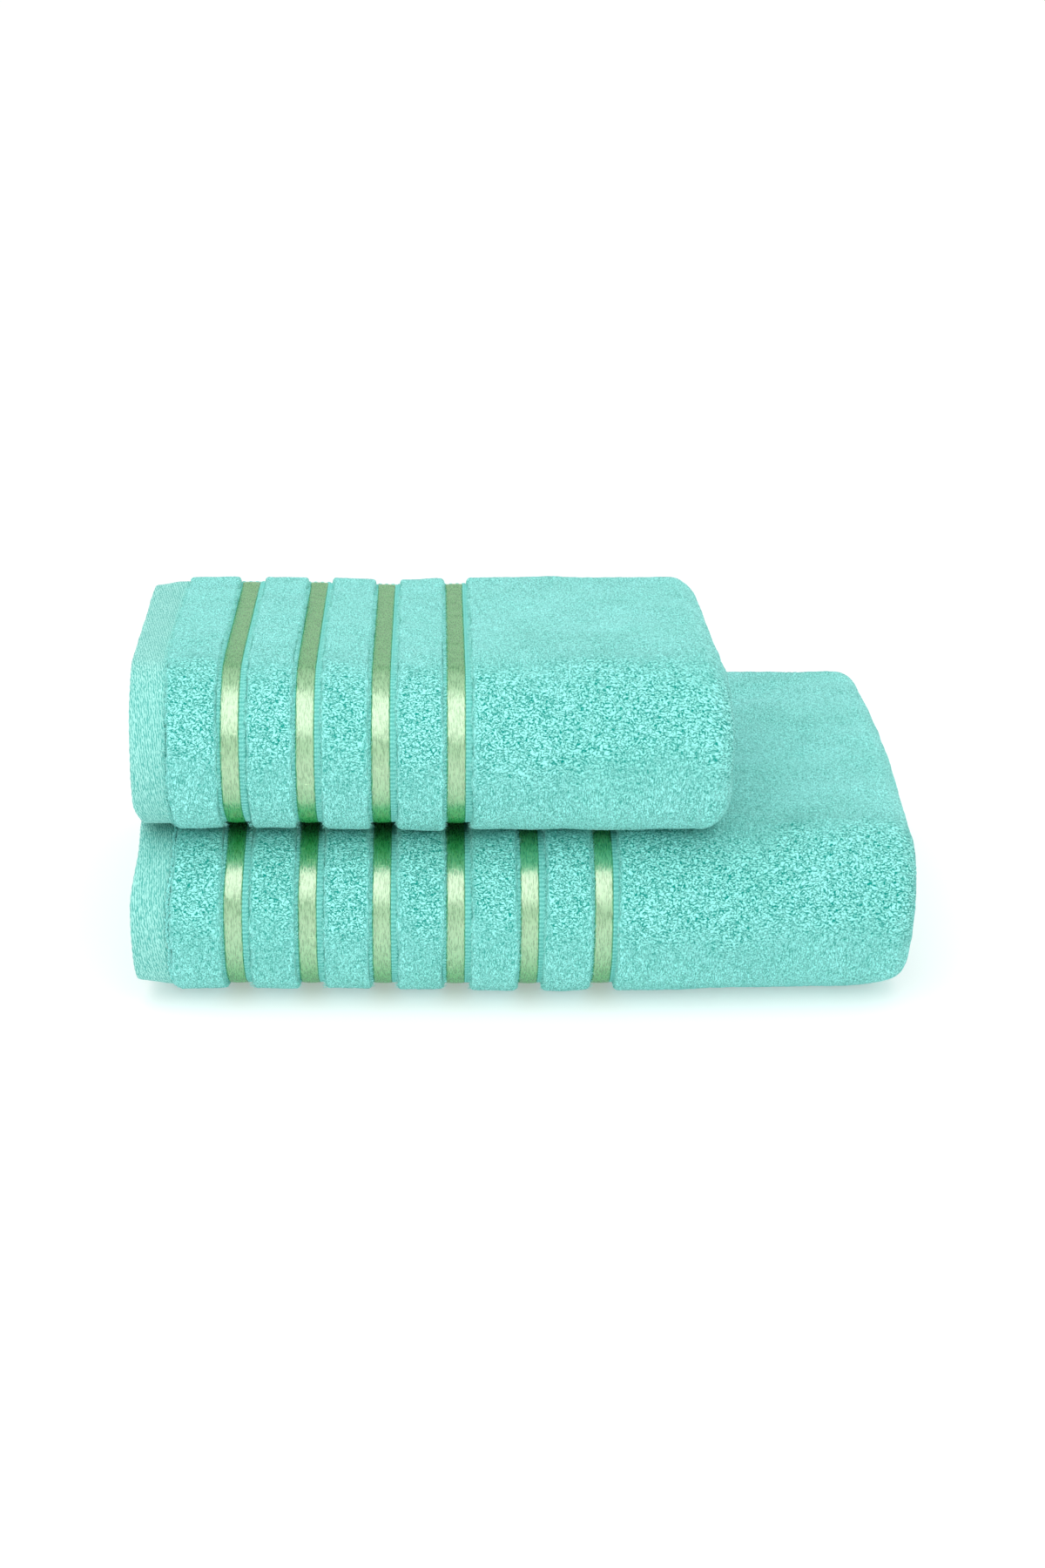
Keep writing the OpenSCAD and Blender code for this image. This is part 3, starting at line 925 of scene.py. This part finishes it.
def stitch_row(skin, along, across, height, lengthwise, long=STITCH_LONG, radius=STITCH_R, tilt=0.25):
    """Short rounded stitches, each a small capsule that dips into the cloth at both ends."""
    ring = np.linspace(0, 2 * math.pi, 6)[:-1]
    body = np.linspace(-1, 1, 6)
    index = np.arange(len(body) * len(ring)).reshape(len(body), len(ring))
    index = np.concatenate([index, index[:, :1]], axis=1)
    size = radius * np.sqrt(np.clip(1 - body**2, 0.02, 1))
    for number, (u, s) in enumerate(zip(along, across)):
        lean = tilt * 2 * (lattice(number, 3, 0) - 0.5)
        side = lean * body[:, None] + size[:, None] * np.cos(ring)
        lift = height - 0.30 * body[:, None] ** 2 + size[:, None] * np.sin(ring)
        run = 0.5 * long * np.broadcast_to(body[:, None], side.shape)
        du, ds = (run, side) if lengthwise else (side, run)
        points = skin.towel.place(u + du, s + ds, lift)
        cloth = np.stack([u + du, s + ds, lift], axis=-1).reshape(-1, 3)
        flip = -1 if lengthwise else 1
        faces = [grid_faces(index)[:, ::flip]]
        faces += [f[:, ::-flip] for f in (index[0, :-1][None, ::-1], index[-1, :-1][None, :])]
        ones = np.ones(len(points))
        skin.add(points, faces, cloth, ones, 0 * ones)


def hem_stitches(towel):
    """Rows of thread along the border hem, on both faces."""
    skin = Skin(towel)
    line = towel.hem_w - HEM_LIP - 2.0
    across = np.arange(3.0, towel.roll_path.length - 3, STITCH_PITCH)
    for face in (1, -1):
        stitch_row(skin, np.full(len(across), line), across, face * (HEM_T / 2 + STITCH_RISE), False)
    return skin.finish(f"{towel.name}_hem_thread", THREAD, "stitching", "hem_stitches")


def side_stitches(towel):
    skin = Skin(towel)
    along = np.arange(towel.hem_w + 1, towel.ply_path.length - towel.hem_w - 1, STITCH_PITCH)
    for across in (PILE_FROM_EDGE - 1.4, towel.roll_path.length - PILE_FROM_EDGE + 1.4):
        stitch_row(skin, along, np.full(len(along), across), HEM_T / 2 + STITCH_RISE, True)
    return skin.finish(f"{towel.name}_side_thread", THREAD, "stitching")


def hem_fringe(towel):
    """Loops of pile caught in the inner edge of the border hem."""
    skin = Skin(towel)
    across = np.arange(8.0, towel.front_end + 6, FRINGE_PITCH)
    along = towel.hem_w - HEM_LIP + 0.1 + 0.5 * smooth_noise(0 * across, across, 2.2)
    height = HEM_T / 2 + FRINGE_RISE
    stitch_row(skin, along, across, height, False, FRINGE_LONG, FRINGE_R, FRINGE_TILT)
    return skin.finish(f"{towel.name}_hem_fringe", TERRY, "terry_pile")


def fuzz(towel):
    """Loose fibres along both edges of each stripe of pile, and along the left edge of the field."""
    skin = Skin(towel)
    random = np.random.default_rng(towel.bands)
    sides = [(stripe, side) for stripe in range(1, towel.bands + 1) for side in (-1, 1)]
    sides.append((0, -1))
    field = towel.field_start()
    for stripe, side in sides:
        begin, end = towel.along(f"pile_stripe_{stripe}") if stripe else (field, field)
        edge = begin if side < 0 else end + STRIPE_SPREAD
        if stripe == 1 and side < 0:
            edge += FRINGE_ROOM * towel.fringe_w
        last = towel.front_end - FUZZ_CLEAR
        count = int(FUZZ_PER_MM * (last - FUZZ_FROM))
        across = random.uniform(FUZZ_FROM, last, count)
        height = GROUND_T / 2 + towel.pile * random.uniform(*FUZZ_HEIGHT, count)
        long = random.uniform(*FUZZ_LONG, count)
        lean, rise, bend = random.normal(0, FUZZ_SPREAD, (count, 3)).T
        place = np.linspace(0, 1, FUZZ_RINGS)[None, :, None]
        turn = np.linspace(0, 2 * math.pi, 4)[:3]
        radius = FUZZ_R * (1 - FUZZ_TAPER * place)
        reach = -FUZZ_ROOT + place * long[:, None, None]
        u = edge + side * reach + radius * 0.5 * np.cos(turn)
        s = across[:, None, None] + lean[:, None, None] * reach + bend[:, None, None] * place**2
        h = height[:, None, None] + rise[:, None, None] * reach + radius * np.sin(turn)
        u, s, h = np.broadcast_arrays(u, s + radius * np.cos(turn), h)
        points = towel.place(u, s, h)
        index = np.arange(points.shape[0]).reshape(count, FUZZ_RINGS, 3)
        faces = []
        for a, b in ((0, 1), (1, 2), (2, 0)):
            quads = [index[:, :-1, a], index[:, :-1, b], index[:, 1:, b], index[:, 1:, a]]
            faces.append(np.stack(quads, axis=-1).reshape(-1, 4)[:, ::side])
        faces += [index[:, 0, ::-1][:, ::side], index[:, -1][:, ::side]]
        cloth = np.stack([u, s, h], axis=-1).reshape(-1, 3)
        ones = np.ones(len(points))
        skin.add(points, faces, cloth, ones, 0 * ones)
    return skin.finish(f"{towel.name}_edge_fuzz", FUZZ, "terry_pile")


def make_towel(towel):
    cloth = ground_cloth(towel)
    parts = [pile_field(towel), end_hem(towel), far_end_hem(towel)]
    parts += [side_hem(towel, "outer", "outer_side_hem"), side_hem(towel, "inner", "inner_side_hem")]
    parts += [hem_stitches(towel), side_stitches(towel)]
    parts.append(fuzz(towel))
    if towel.fringe_w:
        parts.append(hem_fringe(towel))
    for number in range(1, towel.bands + 1):
        parts += [pile_stripe(towel, number), satin_band(towel, number), edging(towel, number)]


bath = Towel("bath", 4, 6, (0.7, 1.4), bath_lie, top_step=1.0, fringe_w=2.2)
hand = Towel("hand", 3, 4, (0.5, 0.8), hand_lie, top_step=FINE, fringe_w=0.0)
make_towel(bath)
make_towel(hand)


# ---------------------------------------------------------------------------------------------
# Floor, light and camera
# ---------------------------------------------------------------------------------------------
FLOOR_R = 12.0
FLOOR_NEAR = 0.3
FLOOR_FAR = 1.5
FLOOR_GLOW = 0.32
FLOOR_SHADES = ((0.74, 0.74, 0.74, 1), (0.02, 0.02, 0.02, 1))


def make_floor():
    """A pale round floor that turns plain white far from the towels."""
    ring = [(FLOOR_R * math.cos(a), FLOOR_R * math.sin(a), 0) for a in np.linspace(0, 2 * math.pi, 97)[:-1]]
    mesh = bpy.data.meshes.new("floor")
    mesh.from_pydata(ring, [], [list(range(len(ring)))])
    floor = bpy.data.objects.new("floor", mesh)
    bpy.context.scene.collection.objects.link(floor)
    g = Graph("floor")
    place = g.node("TexCoord").outputs["Object"]
    distance = g.node("VectorMath", {"operation": "LENGTH"})
    g.set(distance.inputs[0], place)
    far = g.fit(distance.outputs[1], FLOOR_NEAR, FLOOR_FAR)
    g.set(g.shader.inputs["Base Color"], g.mix(far, *FLOOR_SHADES))
    g.set(g.shader.inputs["Emission Strength"], g.fit(far, 0.0, 0.7, FLOOR_GLOW, 1.0))
    g.shader.inputs["Emission Color"].default_value = (1, 1, 1, 1)
    g.shader.inputs["Roughness"].default_value = 0.9
    g.shader.inputs["Specular IOR Level"].default_value = 0.0
    mesh.materials.append(g.material)


def area_light(name, place, target, width, height, power):
    data = bpy.data.lights.new(name, "AREA")
    data.shape, data.size, data.size_y, data.energy = "RECTANGLE", width, height, power
    lamp = bpy.data.objects.new(name, data)
    lamp.location = place
    toward = np.array(target) - np.array(place)
    lamp.rotation_mode = "QUATERNION"
    lamp.rotation_quaternion = Vector(toward).to_track_quat("-Z", "Y")
    bpy.context.scene.collection.objects.link(lamp)


WORLD_FRONT = 0.84
WORLD_BACK = 0.42
BACK_RISE = 0.9
BACK_EDGE = (0.12, 0.45)
WORLD_HORIZON = 0.92
HORIZON_EDGE = (0.20, 0.33)  # as the height of a direction, from 0 to 1


def make_world():
    """A light tent with a dimmer back wall for the satin's top to mirror, over a pale horizon."""
    world = bpy.data.worlds.new("studio")
    world.use_nodes = True
    tree = world.node_tree
    back = tree.nodes["Background"]
    back.inputs[0].default_value = (1, 1, 1, 1)
    parts = tree.nodes.new("ShaderNodeSeparateXYZ")
    slope = tree.nodes.new("ShaderNodeMath")
    slope.operation = "MULTIPLY_ADD"
    slope.inputs[1].default_value = -BACK_RISE
    ramp = tree.nodes.new("ShaderNodeMapRange")
    ramp.interpolation_type = "SMOOTHSTEP"
    for number, value in enumerate((*BACK_EDGE, WORLD_FRONT, WORLD_BACK), 1):
        ramp.inputs[number].default_value = value
    direction = tree.nodes.new("ShaderNodeTexCoord").outputs["Generated"]
    tree.links.new(direction, parts.inputs[0])
    tree.links.new(parts.outputs[2], slope.inputs[0])
    tree.links.new(parts.outputs[1], slope.inputs[2])
    tree.links.new(slope.outputs[0], ramp.inputs[0])
    horizon = tree.nodes.new("ShaderNodeMapRange")
    horizon.interpolation_type = "SMOOTHSTEP"
    for number, value in enumerate((*HORIZON_EDGE, WORLD_HORIZON, 0.0), 1):
        horizon.inputs[number].default_value = value
    brighter = tree.nodes.new("ShaderNodeMath")
    brighter.operation = "MAXIMUM"
    tree.links.new(parts.outputs[2], horizon.inputs[0])
    tree.links.new(ramp.outputs[0], brighter.inputs[0])
    tree.links.new(horizon.outputs[0], brighter.inputs[1])
    tree.links.new(brighter.outputs[0], back.inputs[1])
    bpy.context.scene.world = world


CAMERA_AT = (-0.0398, -1.118, 0.4957)
CAMERA_PITCH = 21.1
CAMERA_LENS = 55.8
CAMERA_SHIFT = (0.0547, 0.0)


def make_camera():
    data = bpy.data.cameras.new("camera")
    data.lens = CAMERA_LENS
    data.sensor_width = 36
    data.shift_x, data.shift_y = CAMERA_SHIFT
    camera = bpy.data.objects.new("camera", data)
    camera.location = CAMERA_AT
    camera.rotation_euler = (math.radians(90 - CAMERA_PITCH), 0, 0)
    bpy.context.scene.collection.objects.link(camera)
    bpy.context.scene.camera = camera


SOFTBOX_AT = (-0.25, -0.95, 1.65)
SOFTBOX_TO = (0, 0, 0.1)
SOFTBOX_SIZE = (2.6, 2.4)
SOFTBOX_POWER = 25

make_floor()
make_world()
area_light("softbox", SOFTBOX_AT, SOFTBOX_TO, *SOFTBOX_SIZE, SOFTBOX_POWER)
make_camera()
bpy.context.scene.view_settings.view_transform = "Standard"
